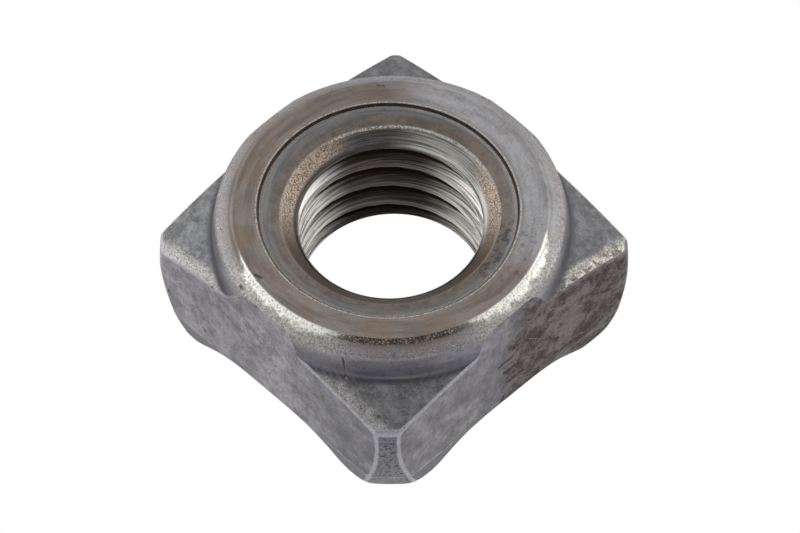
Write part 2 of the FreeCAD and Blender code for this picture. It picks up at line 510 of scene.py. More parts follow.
# %% Where each point of the skin is
# the two limits of the side part by 0.84 mm for each millimetre of skin past the upright edge
LIMITS_PART = 0.84
RADII, HEIGHTS = section[..., 0], section[..., 1]
SKIN_X, SKIN_Y = RADII * np.cos(THETA), RADII * np.sin(THETA)
ANGLES = np.broadcast_to(THETA, RADII.shape)
PAST_EDGE = (flat_limit(ANGLES, HEIGHTS) - ball_limit(ANGLES, HEIGHTS)) / LIMITS_PART
SIDE_ALL = zone_rows("side") + zone_rows("foot_side")
BESIDE_DISH = RADII - dish_radius
print("points of the skin", RADII.size)

# %% Masks of the worn edges
EDGE_LINE = 0.13
CREASE_SHARE = 0.6
CREASE_WIDTH = 0.05
CREASE_START = 10.4
BOSS_EDGE = 7.35
BOSS_EDGE_SOFT = 0.25
LESS_AT_BOSS = 0.65
SLOPE_BAND = 1.25
BAND_FULL = 0.2
FRONT_BAND = 0.8


def slope_band():
    # the rubbed strip of each corner's top, along the edge that faces the view
    near_front = step_up(-SKIN_Y, HALF - SLOPE_BAND, HALF - BAND_FULL)
    near_right = step_up(SKIN_X, HALF - SLOPE_BAND, HALF - BAND_FULL)
    return (corner_near("left") * near_front + corner_near("right") * near_right
            + FRONT_BAND * corner_near("front") * near_front)


def edge_mask():
    # 1 on every worn edge: round the top, up the corners, and thin along the feet's crease
    upright = bump(np.abs(PAST_EDGE), 0, EDGE_LINE) * SIDE_ALL
    crease = CREASE_SHARE * bump(HEIGHTS, FOOT, CREASE_WIDTH) * (RADII > CREASE_START) * SIDE_ALL
    on_boss = step_up(HEIGHTS, BOSS_EDGE - BOSS_EDGE_SOFT, BOSS_EDGE + BOSS_EDGE_SOFT)
    round_top = zone_rows("top_edge") * (1 - LESS_AT_BOSS * on_boss)
    return np.clip(round_top + np.maximum(upright, crease), 0, 1)


def rust_mask():
    # the rusty end of the right flat, with a boundary that leans over towards the top
    leaning = SKIN_Y - 0.4 * np.maximum(HEIGHTS - 5, 0)
    on_flat = (SIDE_ALL + zone_rows("top_edge")) * (SKIN_X > HALF - 0.6)
    return on_flat * step_up(leaning, -2.4, 0.6)


# %% Masks of the outside
def outside_masks():
    top = zone_rows("top")
    boss_foot = BOSS_FOOT[0]
    return {
        "foot": zone_rows("foot_side") * (HEIGHTS < FOOT - 0.04) * (RADII > 10.2),
        "end": SIDE_ALL * step_up(PAST_EDGE, 0.05, 0.18),
        "slope": top * step_up(RADII, boss_foot - 0.05, boss_foot + 0.15),
        # painted shade: the crease at the boss's foot is painted dark
        "hollow_painted_shade": top * bump(RADII, boss_foot + 0.10, 0.17),
        "boss": top * step_up(-RADII, -boss_foot - 0.15, -boss_foot + 0.05),
        "below_ring": top * np.clip((TOP - HEIGHTS) / 2, 0, 1),
        "band": top * slope_band(),
        # the right corner's top: rust specks, and brighter glints as painted highlight
        "right_corner_rust_and_glint": top * corner_near("right"),
        # painted shade: the sides darken towards the right flat and the front corner
        "side_painted_shade": SIDE_ALL * np.where(SKIN_X > HALF - 0.3, 0.75, step_up(SKIN_X, 1.0, 6.0)),
        # painted shade: the tops of the back and right corners are made darker
        "slope_painted_shade": top * np.clip(corner_near("back") + 0.8 * corner_near("right"), 0, 1),
        "edge": edge_mask(),
        "rust": rust_mask(),
        "front_tip": zone_rows("top_edge") * bump(turn_between(ANGLES, CORNERS["front"]), 0, 4),
    }


# %% Masks of the inside
def inside_masks():
    dish, step, sink = zone_rows("dish"), zone_rows("step"), zone_rows("upper_sink")
    return {
        "ring": zone_rows("ring"),
        "step": step,
        # the gutter's place, painted dark in step_paint as painted shade
        "gutter": step * bump(BESIDE_DISH, 0.0, 0.055),
        # the step's two edges, painted pale: a burr, and partly a painted highlight
        "step_rim_and_highlight": step * np.maximum(bump(BESIDE_DISH, 0.10, 0.05), 0.8 * bump(BESIDE_DISH, -0.10, 0.03)),
        "dish": dish,
        "dish_inner": dish * step_up(-RADII, -6.85, -6.5),
        "tan": sink * step_up(RADII, 5.30, 5.42),
        "lip": sink * step_up(-RADII, -5.42, -5.30),
        "burr": (sink + dish) * bump(RADII, SINK, 0.09) * arc(288, 44, 16),
        "bore": zone_rows("bore") + zone_rows("lower_sink"),
    }


# %% Masks of arcs
# middle of each arc as the camera sees it, half its width, and how softly it ends, in degrees
ARCS = {
    # the front arc, where the boss's rim is painted dark as a painted reflection
    "front_painted_reflection": (88, 10, 26),
    "back_arc": (268, 20, 34),
    "silver_arc": (335, 42, 26),
    "smudge_arc": (26, 14, 10),
    "front_dark": (95, 60, 40),
    "sink_back": (287, 34, 24),
}
MASKS = {**outside_masks(), **inside_masks()}
for arc_name, (middle, half_width, soft) in ARCS.items():
    MASKS[arc_name] = arc(middle, half_width, soft)
# the bevel's arcs right and left of the front: rubbed bare, and painted bright as a painted highlight
MASKS["worn_and_highlight_arc"] = np.maximum(arc(38, 14, 20), arc(133, 14, 24))
for mask_name, values in MASKS.items():
    print("mask %-12s covers %.3f of the points" % (mask_name, values.mean()))

# %% [markdown]
# ## The mesh
#
# The grid closes on itself both ways, like the skin of a ring, so it needs no caps and has no
# open edge. The volume, with its sign, tells whether the faces look outwards.

# %% Mesh
def build_skin():
    points = np.stack([SKIN_X, SKIN_Y, HEIGHTS], -1) * MM
    row, column = np.meshgrid(np.arange(ROWS), np.arange(COLUMNS), indexing="ij")
    next_row, next_column = (row + 1) % ROWS, (column + 1) % COLUMNS
    faces = np.stack([row * COLUMNS + column, row * COLUMNS + next_column,
                      next_row * COLUMNS + next_column, next_row * COLUMNS + column], -1)
    mesh = bpy.data.meshes.new("nut_skin")
    mesh.from_pydata(points.reshape(-1, 3).tolist(), [], faces.reshape(-1, 4).tolist())
    mesh.shade_smooth()
    return mesh


def add_attribute(mesh, name, values):
    attribute = mesh.attributes.new(name, "FLOAT", "POINT")
    attribute.data.foreach_set("value", np.asarray(values, np.float32).ravel())


skin = build_skin()
for mask_name, values in MASKS.items():
    add_attribute(skin, mask_name, values)
signed = sum(face.area * face.normal.dot(face.center) for face in skin.polygons) / 3
print("signed volume %.1f mm3" % (signed / MM ** 3))
if signed < 0:
    skin.flip_normals()

# %% [markdown]
# ## Short calls for nodes
#
# Node trees written in code grow long, so a small class gives the few nodes that come again
# and again: arithmetic, noise in millimetres, soft thresholds and colour mixes. Three calls do
# most of the painting. Tones runs between two colours as a noise rises, tint lays one colour
# over another by a share, and stain lays it only where a noise passes a threshold.

# %% Node helper
class Nodes:
    def __init__(self, tree):
        self.tree = tree

    def add(self, kind, **settings):
        node = self.tree.nodes.new(kind)
        for name, value in settings.items():
            setattr(node, name, value)
        return node

    def feed(self, socket, value):
        if isinstance(value, bpy.types.NodeSocket):
            self.tree.links.new(value, socket)
        else:
            socket.default_value = value

    def math(self, operation, a, b=0.0, clamp=False):
        node = self.add("ShaderNodeMath", operation=operation, use_clamp=clamp)
        self.feed(node.inputs[0], a)
        self.feed(node.inputs[1], b)
        return node.outputs[0]

    def plus(self, a, b):
        return self.math("ADD", a, b)

    def minus(self, a, b):
        return self.math("SUBTRACT", a, b)

    def times(self, a, b):
        return self.math("MULTIPLY", a, b)

    def over(self, a, b, clamp=False):
        return self.math("DIVIDE", a, b, clamp)

    def larger(self, first, *others):
        for other in others:
            first = self.math("MAXIMUM", first, other)
        return first

    def noise(self, vector, scale, detail=4.0, roughness=0.6, distortion=0.0):
        node = self.add("ShaderNodeTexNoise")
        self.feed(node.inputs["Vector"], vector)
        given = {"Scale": scale, "Detail": detail, "Roughness": roughness, "Distortion": distortion}
        for name, value in given.items():
            node.inputs[name].default_value = value
        return node.outputs["Fac"]

    def cells(self, vector, scale):
        node = self.add("ShaderNodeTexVoronoi", feature="F1")
        self.feed(node.inputs["Vector"], vector)
        node.inputs["Scale"].default_value = scale
        return node.outputs["Distance"], node.outputs["Color"]

    def fade(self, value, start, end):
        node = self.add("ShaderNodeMapRange", interpolation_type="SMOOTHSTEP")
        for socket, given in zip(node.inputs, (value, start, end, 0.0, 1.0)):
            self.feed(socket, given)
        return node.outputs[0]

    def mix(self, share, first, second):
        node = self.add("ShaderNodeMix", data_type="RGBA")
        self.feed(node.inputs[0], share)
        self.feed(node.inputs[6], first)
        self.feed(node.inputs[7], second)
        return node.outputs[2]

    def blend(self, share, first, second):
        node = self.add("ShaderNodeMix", data_type="FLOAT")
        self.feed(node.inputs[0], share)
        self.feed(node.inputs[2], first)
        self.feed(node.inputs[3], second)
        return node.outputs[0]

    def tones(self, value, start, end, first, second):
        return self.mix(self.fade(value, start, end), first, second)

    def tint(self, colour, laid, share, strength):
        return self.mix(self.times(share, strength), colour, laid)

    def stain(self, colour, laid, value, start, end, strength):
        return self.tint(colour, laid, self.fade(value, start, end), strength)

    def mask(self, name):
        return self.add("ShaderNodeAttribute", attribute_name=name).outputs["Fac"]

    def vector(self, x, y, z):
        node = self.add("ShaderNodeCombineXYZ")
        for socket, value in zip(node.inputs, (x, y, z)):
            self.feed(socket, value)
        return node.outputs[0]

    def vector_math(self, operation, a, b=(0.0, 0.0, 0.0), scale=1.0):
        # a length or a product comes out as a number, all else as a vector
        node = self.add("ShaderNodeVectorMath", operation=operation)
        self.feed(node.inputs[0], a)
        self.feed(node.inputs[1], b)
        self.feed(node.inputs[3], scale)
        return node.outputs[1 if operation in ("LENGTH", "DOT_PRODUCT") else 0]


def srgb(red, green, blue):
    # a colour as a screen shows it, 0 to 255, turned into light
    def light(value):
        share = value / 255
        return share / 12.92 if share <= 0.04045 else ((share + 0.055) / 1.055) ** 2.4
    return (light(red), light(green), light(blue), 1.0)


# %% [markdown]
# ## The steel
#
# One material paints the whole nut, because it is one piece of steel. It starts from the dull
# oxide of the sides and lays one zone after another over it. The noise is read in Object
# coordinates, in millimetres, so that grain and scratches have their real size. Tools that turn
# leave lines round the axis, so those noises change slowly along the turn and fast across it.

# %% Coordinates of the steel
steel = bpy.data.materials.new("worn_steel")
steel.use_nodes = True
wire = Nodes(steel.node_tree)
# the calls that paint the steel come so often that they get short names
noise, mask, fade = wire.noise, wire.mask, wire.fade
mix, tones, tint, stain = wire.mix, wire.tones, wire.tint, wire.stain
shader = steel.node_tree.nodes["Principled BSDF"]
to_mm = wire.add("ShaderNodeMapping")
to_mm.inputs["Scale"].default_value = (1 / MM, 1 / MM, 1 / MM)
wire.feed(to_mm.inputs["Vector"], wire.add("ShaderNodeTexCoord").outputs["Object"])
place = to_mm.outputs[0]
split = wire.add("ShaderNodeSeparateXYZ")
wire.feed(split.inputs[0], place)
px, py, pz = split.outputs
radius = wire.math("SQRT", wire.plus(wire.times(px, px), wire.times(py, py)))
cosine, sine = wire.over(px, radius), wire.over(py, radius)


def around(turns, outward, upward):
    # a place that changes by the given rates along the turn, the radius and the height
    across = wire.plus(wire.times(radius, outward), wire.times(pz, upward))
    return wire.vector(wire.times(cosine, turns), wire.times(sine, turns), across)


# %% Noises that the zones share
cloud = noise(place, 0.45, 6.0, 0.65)
mottle = noise(place, 1.8, 8.0, 0.75)
grain = noise(place, 8.0, 4.0, 0.75)
fine = noise(place, 16.0, 2.0, 0.6)
turned_lines = noise(around(1.8, 9.0, 9.0), 1.0, 5.0, 0.75)
turned_bands = noise(around(2.2, 1.8, 1.8), 1.0, 6.0, 0.65)
thread_lines = noise(around(1.5, 7.0, 14.0), 1.0, 3.0, 0.6)


def ragged(value, amount):
    # a mask whose later threshold wanders with the mottling
    return wire.plus(value, wire.times(wire.minus(mottle, 0.5), amount))


def count_nodes(zone):
    print("%s painted, %d nodes in the steel" % (zone, len(steel.node_tree.nodes)))


# %% Specks and scratches
def specks(scale, share, size):
    # small round specks: one to a cell of the given scale, in the given share of the cells
    distance, cell_colour = wire.cells(place, scale)
    draw = wire.add("ShaderNodeSeparateColor")
    wire.feed(draw.inputs[0], cell_colour)
    chosen = fade(draw.outputs[0], 1.0 - share, 1.04 - share)
    return wire.times(fade(distance, size, size * 0.5), chosen)


def scratches(degrees, seed, threshold):
    # thin lines at a slant on the upright faces, where x plus y runs along the face
    along = wire.plus(px, py)
    level, steep = math.cos(math.radians(degrees)), math.sin(math.radians(degrees))
    run = wire.plus(wire.times(along, level), wire.times(pz, steep))
    across = wire.minus(wire.times(pz, level), wire.times(along, steep))
    slanted = wire.vector(wire.times(run, 0.30), wire.times(across, 7.0), seed)
    return fade(noise(slanted, 1.0, 2.0, 0.5), threshold, threshold + 0.03)


# %% [markdown]
# ## Single marks
#
# Noise is fair to every place, but real wear isn't: a nick, a crack in a lap and a fleck of rust
# are single events. Each one is a short line between two places in millimetres, with half its
# width, bent a little by noise so that it doesn't look drawn.

# %% Places of the single marks
def on_left_flat(x, z):
    return (x, -HALF, z)


def on_right_flat(y, z):
    return (HALF, y, z)


LAP_CRACK = ((4.9, -8.3, 8.6), (5.2, -8.5, 7.1))
LAP_CRACK_LIGHT = ((5.0, -8.3, 8.6), (5.3, -8.5, 7.1))
LAP_LINE = ((-7.4, -6.5, 7.8), (-5.8, -7.3, 9.0))
BEVEL_NICK = ((-2.3, -9.2, 9.0), (-2.1, -9.2, 8.9))
RING_NICK_FRONT = ((-2.0, -8.3, TOP), (-1.6, -8.2, TOP))
RING_NICK_BACK = ((-6.6, 5.4, TOP), (-6.3, 5.6, TOP))
RUST_STROKES = [(on_right_flat(-1.0, 5.0), on_right_flat(0.0, 5.0)),
                (on_right_flat(-0.7, 4.1), on_right_flat(0.4, 4.0)),
                (on_right_flat(-0.3, 3.0), on_right_flat(0.8, 3.0))]
SIDE_PITS = [(on_left_flat(-8.0, 3.4), on_left_flat(-8.0, 3.2)),
             (on_left_flat(-5.2, 2.4), on_left_flat(-5.1, 2.2)),
             (on_left_flat(-4.4, 7.4), on_left_flat(-4.3, 7.2))]
BRIGHT_FLECK = (on_left_flat(6.8, 2.5), on_left_flat(7.0, 2.4))
PALE_SCRATCH = (on_right_flat(1.3, 5.4), on_right_flat(2.0, 4.7))
RUST_FLECK = (on_left_flat(-4.8, 4.0), on_left_flat(-4.8, 3.4))

DARK_MARKS = ([(line, 0.13) for line in RUST_STROKES] + [(line, 0.08) for line in SIDE_PITS]
              + [(BEVEL_NICK, 0.11), (RING_NICK_FRONT, 0.10), (RING_NICK_BACK, 0.07)]
              + [(LAP_CRACK, 0.06), (LAP_LINE, 0.05)])
PALE_MARKS = [(LAP_CRACK_LIGHT, 0.04), (BRIGHT_FLECK, 0.08), (PALE_SCRATCH, 0.03)]
RUST_MARKS = [(RUST_FLECK, 0.07)]

# %% Lines bent by noise
BEND = 0.35
wander = wire.vector(grain, mottle, noise(place, 5.0, 2.0))
bend = wire.vector_math("SUBTRACT", wander, (0.5, 0.5, 0.5))
bent = wire.vector_math("ADD", place, wire.vector_math("SCALE", bend, scale=BEND))


def marks(lines):
    # 1 on the lines, fading out at their sides
    total = 0.0
    for (start, end), half_width in lines:
        run = Vector(end) - Vector(start)
        offset = wire.vector_math("SUBTRACT", bent, start)
        share = wire.over(wire.vector_math("DOT_PRODUCT", offset, run), run.length_squared, clamp=True)
        aside = wire.vector_math("SUBTRACT", offset, wire.vector_math("SCALE", tuple(run), scale=share))
        line = fade(wire.vector_math("LENGTH", aside), half_width * 1.3, half_width * 0.5)
        total = wire.larger(total, line)
    return total


dark_marks, pale_marks, rust_marks = marks(DARK_MARKS), marks(PALE_MARKS), marks(RUST_MARKS)
print("single marks", len(DARK_MARKS) + len(PALE_MARKS) + len(RUST_MARKS))

# %% [markdown]
# ## Steel of the sides
#
# The flats were pressed, then tumbled with other nuts. They are a satin purple-grey with soft
# clouds, faint upright brushing, a few long scratches and small black pits. One flat colour
# would look like plastic, so the noises are laid over each other from large to small.

# %% Steel of the sides
def side_paint():
    upright = wire.vector(wire.times(px, 4.0), wire.times(py, 4.0), wire.times(pz, 0.5))
    brushed = noise(upright, 2.0, 6.0, 0.75)
    blots = noise(place, 0.8, 10.0, 0.74)
    colour = tones(mottle, 0.30, 0.70, srgb(102, 98, 106), srgb(178, 175, 181))
    colour = stain(colour, srgb(176, 174, 180), brushed, 0.48, 0.62, 0.40)
    colour = stain(colour, srgb(116, 108, 110), cloud, 0.46, 0.60, 0.5)
    colour = stain(colour, srgb(82, 80, 87), grain, 0.48, 0.64, 0.62)
    colour = stain(colour, srgb(192, 190, 196), fine, 0.50, 0.62, 0.46)
    pale = wire.larger(scratches(62, 3.0, 0.68), scratches(-38, 11.0, 0.70), scratches(14, 23.0, 0.70))
    colour = tint(colour, srgb(176, 174, 180), pale, 0.45)
    colour = tint(colour, srgb(84, 82, 88), scratches(85, 31.0, 0.70), 0.4)
    # painted shade: the sides are made darker towards the right flat and the front corner
    colour = tint(colour, srgb(94, 93, 99), mask("side_painted_shade"), 0.72)
    colour = stain(colour, srgb(66, 64, 70), blots, 0.52, 0.38, 0.50)
    colour = stain(colour, srgb(178, 175, 180), blots, 0.50, 0.66, 0.45)
    colour = stain(colour, srgb(84, 82, 88), brushed, 0.46, 0.36, 0.30)
    pit = wire.larger(specks(1.1, 0.34, 0.10), specks(2.4, 0.16, 0.16))
    colour = tint(colour, srgb(60, 56, 59), pit, 0.8)
    return colour, wire.blend(brushed, 0.38, 0.52), pit


side_colour, side_rough, pits = side_paint()
count_nodes("sides")

# %% [markdown]
# ## Rust
#
# The far end of the right flat has rusted dark brown, with grey metal still showing through in
# patches. Two noises of different size are added, so that the brown is broken up both widely
# and finely, and the darkest parts of their sum become nearly black.

# %% Rust
def rust_paint():
    flow = wire.vector(px, wire.times(py, 0.9), wire.times(pz, 1.2))
    wide = noise(flow, 0.6, 9.0, 0.78, 0.3)
    streaks = noise(flow, 3.2, 6.0, 0.80)
    colour = tones(wide, 0.42, 0.58, srgb(68, 54, 53), srgb(126, 120, 121))
    colour = stain(colour, srgb(82, 71, 70), grain, 0.46, 0.60, 0.6)
    colour = stain(colour, srgb(140, 134, 134), fine, 0.52, 0.62, 0.45)
    patches = wire.plus(wire.times(streaks, 0.55), wire.times(wide, 0.45))
    colour = stain(colour, srgb(138, 131, 131), patches, 0.52, 0.60, 0.55)
    return stain(colour, srgb(48, 33, 31), patches, 0.49, 0.43, 0.85)


rust_reach = ragged(mask("rust"), 3.0)
rust_share = wire.times(fade(mask("rust"), 0.02, 0.5), fade(rust_reach, 0.25, 0.85))
rust_colour = rust_paint()
count_nodes("rust")

# %% [markdown]
# ## Steel of the corners
#
# Each corner's top is a dull hollow with a strip along its front edge that other nuts have rubbed
# bright. Its glints and sparkle are painted highlights, painted brighter on the right corner, which
# faces away from the lamps. The strip is a mask with a ragged border. The corner's cut end was
# never rubbed, and stays dark and full of holes.

# %% Tops of the corners
def slope_paint():
    blots = noise(place, 1.2, 10.0, 0.74)
    colour = tones(mottle, 0.36, 0.64, srgb(82, 84, 83), srgb(124, 124, 127))
    colour = stain(colour, srgb(140, 140, 142), grain, 0.40, 0.62, 0.45)
    # painted shade: the tops of the back and right corners are made darker
    colour = tint(colour, srgb(88, 86, 93), mask("slope_painted_shade"), 0.50)
    colour = stain(colour, srgb(56, 56, 59), blots, 0.52, 0.40, 0.40)
    colour = stain(colour, srgb(160, 159, 162), blots, 0.50, 0.64, 0.30)
    band_mask, rust_and_glint_corner = mask("band"), mask("right_corner_rust_and_glint")
    band = wire.times(fade(band_mask, 0.0, 0.5), fade(ragged(band_mask, 1.8), 0.10, 1.10))
    # painted highlight: glints on the rubbed strip, brighter on the right corner, which faces away from the
    # lamps
    glint = tones(grain, 0.34, 0.68, srgb(130, 128, 125), srgb(196, 194, 187))
    bright_glint = tones(grain, 0.38, 0.62, srgb(142, 137, 130), srgb(236, 230, 216))
    colour = tint(colour, mix(rust_and_glint_corner, glint, bright_glint), band, 0.85)
    sparkle = wire.times(fade(band_mask, 0.0, 0.8), fade(fine, 0.60, 0.67))
    colour = tint(colour, srgb(230, 228, 220), sparkle, 0.7)
    brown_share = wire.times(wire.times(band, rust_and_glint_corner), fade(mottle, 0.52, 0.46))
    brown = tones(grain, 0.4, 0.6, srgb(70, 58, 52), srgb(128, 118, 112))
    return mix(brown_share, colour, brown)


# %% Ends of the corners and sides of the feet
def end_paint():
    colour = tones(grain, 0.38, 0.62, srgb(78, 76, 80), srgb(140, 138, 144))
    colour = stain(colour, srgb(132, 130, 138), mottle, 0.5, 0.66, 0.5)
    hole = wire.larger(specks(3.0, 0.34, 0.40), specks(6.0, 0.30, 0.42))
    return tint(colour, srgb(38, 36, 40), hole, 0.85), hole


def foot_paint():
    return tones(grain, 0.4, 0.6, srgb(88, 86, 92), srgb(118, 116, 122))


end_colour, end_holes = end_paint()
slope_colour = slope_paint()
count_nodes("corners")

# %% [markdown]
# ## Steel of the ring and dish
#
# The ring and the dish were struck by a turned punch, which left brown-grey bands round the
# axis. Towards the back right the ring has been rubbed to a cooler silver, and a dark smudge
# crosses the ring and the dish near the front right.

# %% Ring
def ring_paint():
    colour = tones(turned_bands, 0.36, 0.62, srgb(104, 96, 90), srgb(134, 126, 119))
    colour = stain(colour, srgb(146, 139, 132), turned_lines, 0.46, 0.66, 0.30)
    colour = stain(colour, srgb(121, 103, 89), cloud, 0.44, 0.58, 0.6)
    colour = stain(colour, srgb(84, 76, 70), grain, 0.54, 0.66, 0.45)
    colour = tint(colour, srgb(88, 79, 74), mask("back_arc"), 0.35)
    silver = tones(turned_bands, 0.34, 0.62, srgb(138, 137, 139), srgb(166, 166, 169))
    silver = stain(silver, srgb(116, 113, 112), grain, 0.52, 0.64, 0.5)
    silvery = wire.times(mask("silver_arc"), fade(mottle, 0.10, 0.60))
    colour = mix(silvery, colour, silver)
    smudge = wire.times(mask("smudge_arc"), fade(mottle, 0.52, 0.60))
    return tint(colour, srgb(74, 62, 54), smudge, 0.55)


# %% Dish
def dish_paint():
    colour = tones(turned_bands, 0.36, 0.62, srgb(86, 87, 90), srgb(114, 111, 110))
    colour = stain(colour, srgb(132, 129, 127), turned_lines, 0.46, 0.64, 0.45)
    colour = stain(colour, srgb(68, 66, 65), grain, 0.54, 0.66, 0.4)
    inner = tones(mottle, 0.4, 0.6, srgb(88, 78, 69), srgb(112, 100, 90))
    colour = tint(colour, inner, mask("dish_inner"), 0.8)
    smudge = wire.times(mask("smudge_arc"), fade(mottle, 0.46, 0.56))
    return tint(colour, srgb(50, 46, 44), smudge, 0.85)


# %% Step between ring and dish
def step_paint(ring_colour):
    # painted shade: a dark gutter for the shadowed wall of the step, but only a pale line at the front,
    # where that wall faces away; beside the gutter a pale burr, partly a painted highlight
    gutter = tones(mottle, 0.40, 0.60, srgb(40, 33, 29), srgb(66, 56, 48))
    not_front = wire.minus(1.0, wire.times(mask("front_dark"), 0.85))
    gutter_painted_shade = wire.times(fade(mask("gutter"), 0.25, 0.7), not_front)
    colour = mix(gutter_painted_shade, mix(0.5, ring_colour, srgb(118, 112, 106)), gutter)
    burr = wire.times(fade(mask("step_rim_and_highlight"), 0.2, 0.8), fade(grain, 0.42, 0.56))
    return mix(burr, colour, srgb(186, 180, 168)), burr


ring_colour, dish_colour = ring_paint(), dish_paint()
step_colour, step_burr_and_highlight = step_paint(ring_colour)
count_nodes("ring and dish")

# %% [markdown]
# ## Steel of the boss
#
# Below the ring the boss has a thin dark rim at the front, which is a painted reflection, a brownish
# shoulder with bright specks, and a smooth purple-grey flank. To the left and the right of the front,
# the bevel is rubbed down to bare metal and painted brighter still as a painted highlight. All of it is
# laid out by how far a point lies below the ring.

# %% Boss
def boss_paint(ring_colour):
    # the attribute below_ring runs from 0 at the ring to 1 at 2 mm below it
    below, worn_and_highlight_arc = mask("below_ring"), mask("worn_and_highlight_arc")
    streaks = noise(around(5.0, 1.2, 1.2), 1.0, 5.0, 0.70)
    flank = tones(streaks, 0.34, 0.66, srgb(110, 109, 119), srgb(142, 140, 148))
    flank = stain(flank, srgb(124, 116, 114), cloud, 0.48, 0.62, 0.4)
    flank = stain(flank, srgb(76, 75, 84), mottle, 0.46, 0.36, 0.5)
    shoulder = tones(grain, 0.38, 0.64, srgb(122, 119, 121), srgb(154, 151, 151))
    shoulder = stain(shoulder, srgb(138, 128, 121), cloud, 0.46, 0.60, 0.6)
    shoulder = stain(shoulder, srgb(206, 202, 196), fine, 0.54, 0.62, 0.6)
    shoulder = stain(shoulder, srgb(84, 78, 78), mottle, 0.44, 0.36, 0.6)
    colour = stain(flank, shoulder, ragged(below, 0.9), 0.50, 0.30, 0.85)
    colour = tones(below, 0.30, 0.06, colour, ring_colour)
    # painted highlight: the glow and the near-white bare metal on the bevel's left and right arcs stand for
    # the lamps' reflections, and the bare metal is also real wear
    glow = wire.times(fade(worn_and_highlight_arc, 0.1, 0.9), fade(below, 0.75, 0.30))
    speckle = tones(grain, 0.36, 0.62, srgb(124, 121, 120), srgb(192, 189, 182))
    colour = tint(colour, speckle, glow, 0.7)
    worn = fade(wire.minus(ragged(worn_and_highlight_arc, 1.26), wire.times(below, 3.4)), 0.20, 0.60)
    bright = tones(grain, 0.32, 0.54, srgb(152, 148, 140), srgb(246, 244, 236))
    colour = mix(worn, colour, bright)
    # painted reflection: the thin rim under the ring at the front is painted dark, as the bevel there mirrors
    # the dark room behind the camera
    rim = wire.times(fade(below, 0.16, 0.11), fade(mask("front_painted_reflection"), 0.0, 0.9))
    dark = tones(mottle, 0.48, 0.64, srgb(40, 37, 35), srgb(104, 92, 82))
    dark = tones(fine, 0.58, 0.64, dark, srgb(190, 186, 174))
    return tint(colour, dark, rim, 0.9), worn


boss_colour, boss_worn_and_highlight = boss_paint(ring_colour)
count_nodes("boss")

# %% [markdown]
# ## Steel of the countersink and thread
#
# The countersink was cut, not struck: it is brown and stippled at the front and left, and bare
# turned metal at the back. The thread's crests are polished. The deeper part of the groove is painted
# dark as painted shade, and the far side of the thread is painted dark brown-grey as painted shade.
# How deep a point lies in the groove tells crest from root.

# %% Countersink and its lip
def tan_paint():
    colour = tones(grain, 0.38, 0.60, srgb(88, 73, 61), srgb(172, 155, 137))
    colour = stain(colour, srgb(208, 193, 172), fine, 0.50, 0.60, 0.6)
    colour = mix(mask("front_dark"), colour, srgb(92, 78, 68))
    metal = tones(turned_lines, 0.38, 0.62, srgb(54, 52, 51), srgb(104, 102, 101))
    silver = tones(turned_lines, 0.38, 0.60, srgb(96, 94, 92), srgb(168, 166, 160))
    metal = mix(mask("silver_arc"), metal, silver)
    return mix(mask("sink_back"), colour, metal)


def lip_paint():
    dull = tones(turned_lines, 0.36, 0.62, srgb(46, 40, 37), srgb(84, 78, 75))
    silver = tones(turned_lines, 0.36, 0.60, srgb(120, 118, 114), srgb(196, 194, 188))
    colour = mix(mask("silver_arc"), dull, silver)
    return mix(mask("front_dark"), colour, srgb(52, 42, 38))


# %% Crests and roots of the thread
GROOVE_DEPTH = 0.9


def thread_paint():
    depth = wire.over(wire.minus(radius, BORE), GROOVE_DEPTH)
    metal = tones(thread_lines, 0.34, 0.58, srgb(118, 114, 108), srgb(248, 245, 238))
    # painted shade: the far side of the thread, in the back arc, is painted dark brown-grey
    brown = tones(thread_lines, 0.40, 0.66, srgb(54, 47, 43), srgb(106, 102, 99))
    metal = mix(mask("back_arc"), metal, brown)
    # painted shade: the deeper part of the groove is painted dark
    groove_painted_shade = mix(mottle, srgb(30, 24, 21), srgb(62, 46, 36))
    return tones(ragged(depth, 0.12), 0.46, 0.56, metal, groove_painted_shade)


sink_colour, lip_colour, thread_colour = tan_paint(), lip_paint(), thread_paint()
count_nodes("bore")

# %% [markdown]
# ## Lay the zones over each other
#
# Every zone has its colour now. They go on in order, each by its mask: first the surfaces, then
# the burr, the rust and the pale worn edges, and last the single marks, which cut across all.

# %% Worn edges
def edge_cover():
    edge = mask("edge")
    share = wire.times(fade(edge, 0.05, 0.4), fade(ragged(edge, 1.6), 0.25, 0.75))
    share = wire.times(share, wire.minus(1.0, wire.times(rust_share, 0.75)))
    return wire.larger(share, wire.times(mask("front_tip"), 0.9))


edge_share = edge_cover()
edge_colour = tones(grain, 0.35, 0.65, srgb(152, 150, 158), srgb(186, 184, 192))
burr_share = wire.times(fade(mask("burr"), 0.3, 0.8), fade(grain, 0.44, 0.56))

# %% Colour of the whole nut
# the crease at the boss's foot gets a dark colour as painted shade
ZONE_COLOURS = {
    "foot": foot_paint(), "end": end_colour, "boss": boss_colour, "slope": slope_colour,
    "hollow_painted_shade": srgb(68, 67, 74), "ring": ring_colour, "step": step_colour, "dish": dish_colour,
    "tan": sink_colour, "lip": lip_colour, "bore": thread_colour,
}
paint = side_colour
for zone_name, zone_colour in ZONE_COLOURS.items():
    paint = mix(mask(zone_name), paint, zone_colour)
paint = mix(burr_share, paint, srgb(196, 192, 180))
paint = mix(rust_share, paint, rust_colour)
paint = mix(edge_share, paint, edge_colour)
paint = tint(paint, srgb(48, 34, 31), dark_marks, 0.85)
paint = tint(paint, srgb(186, 183, 180), pale_marks, 0.5)
paint = tint(paint, srgb(140, 98, 66), rust_marks, 0.6)
wire.feed(shader.inputs["Base Color"], paint)
count_nodes("whole nut")

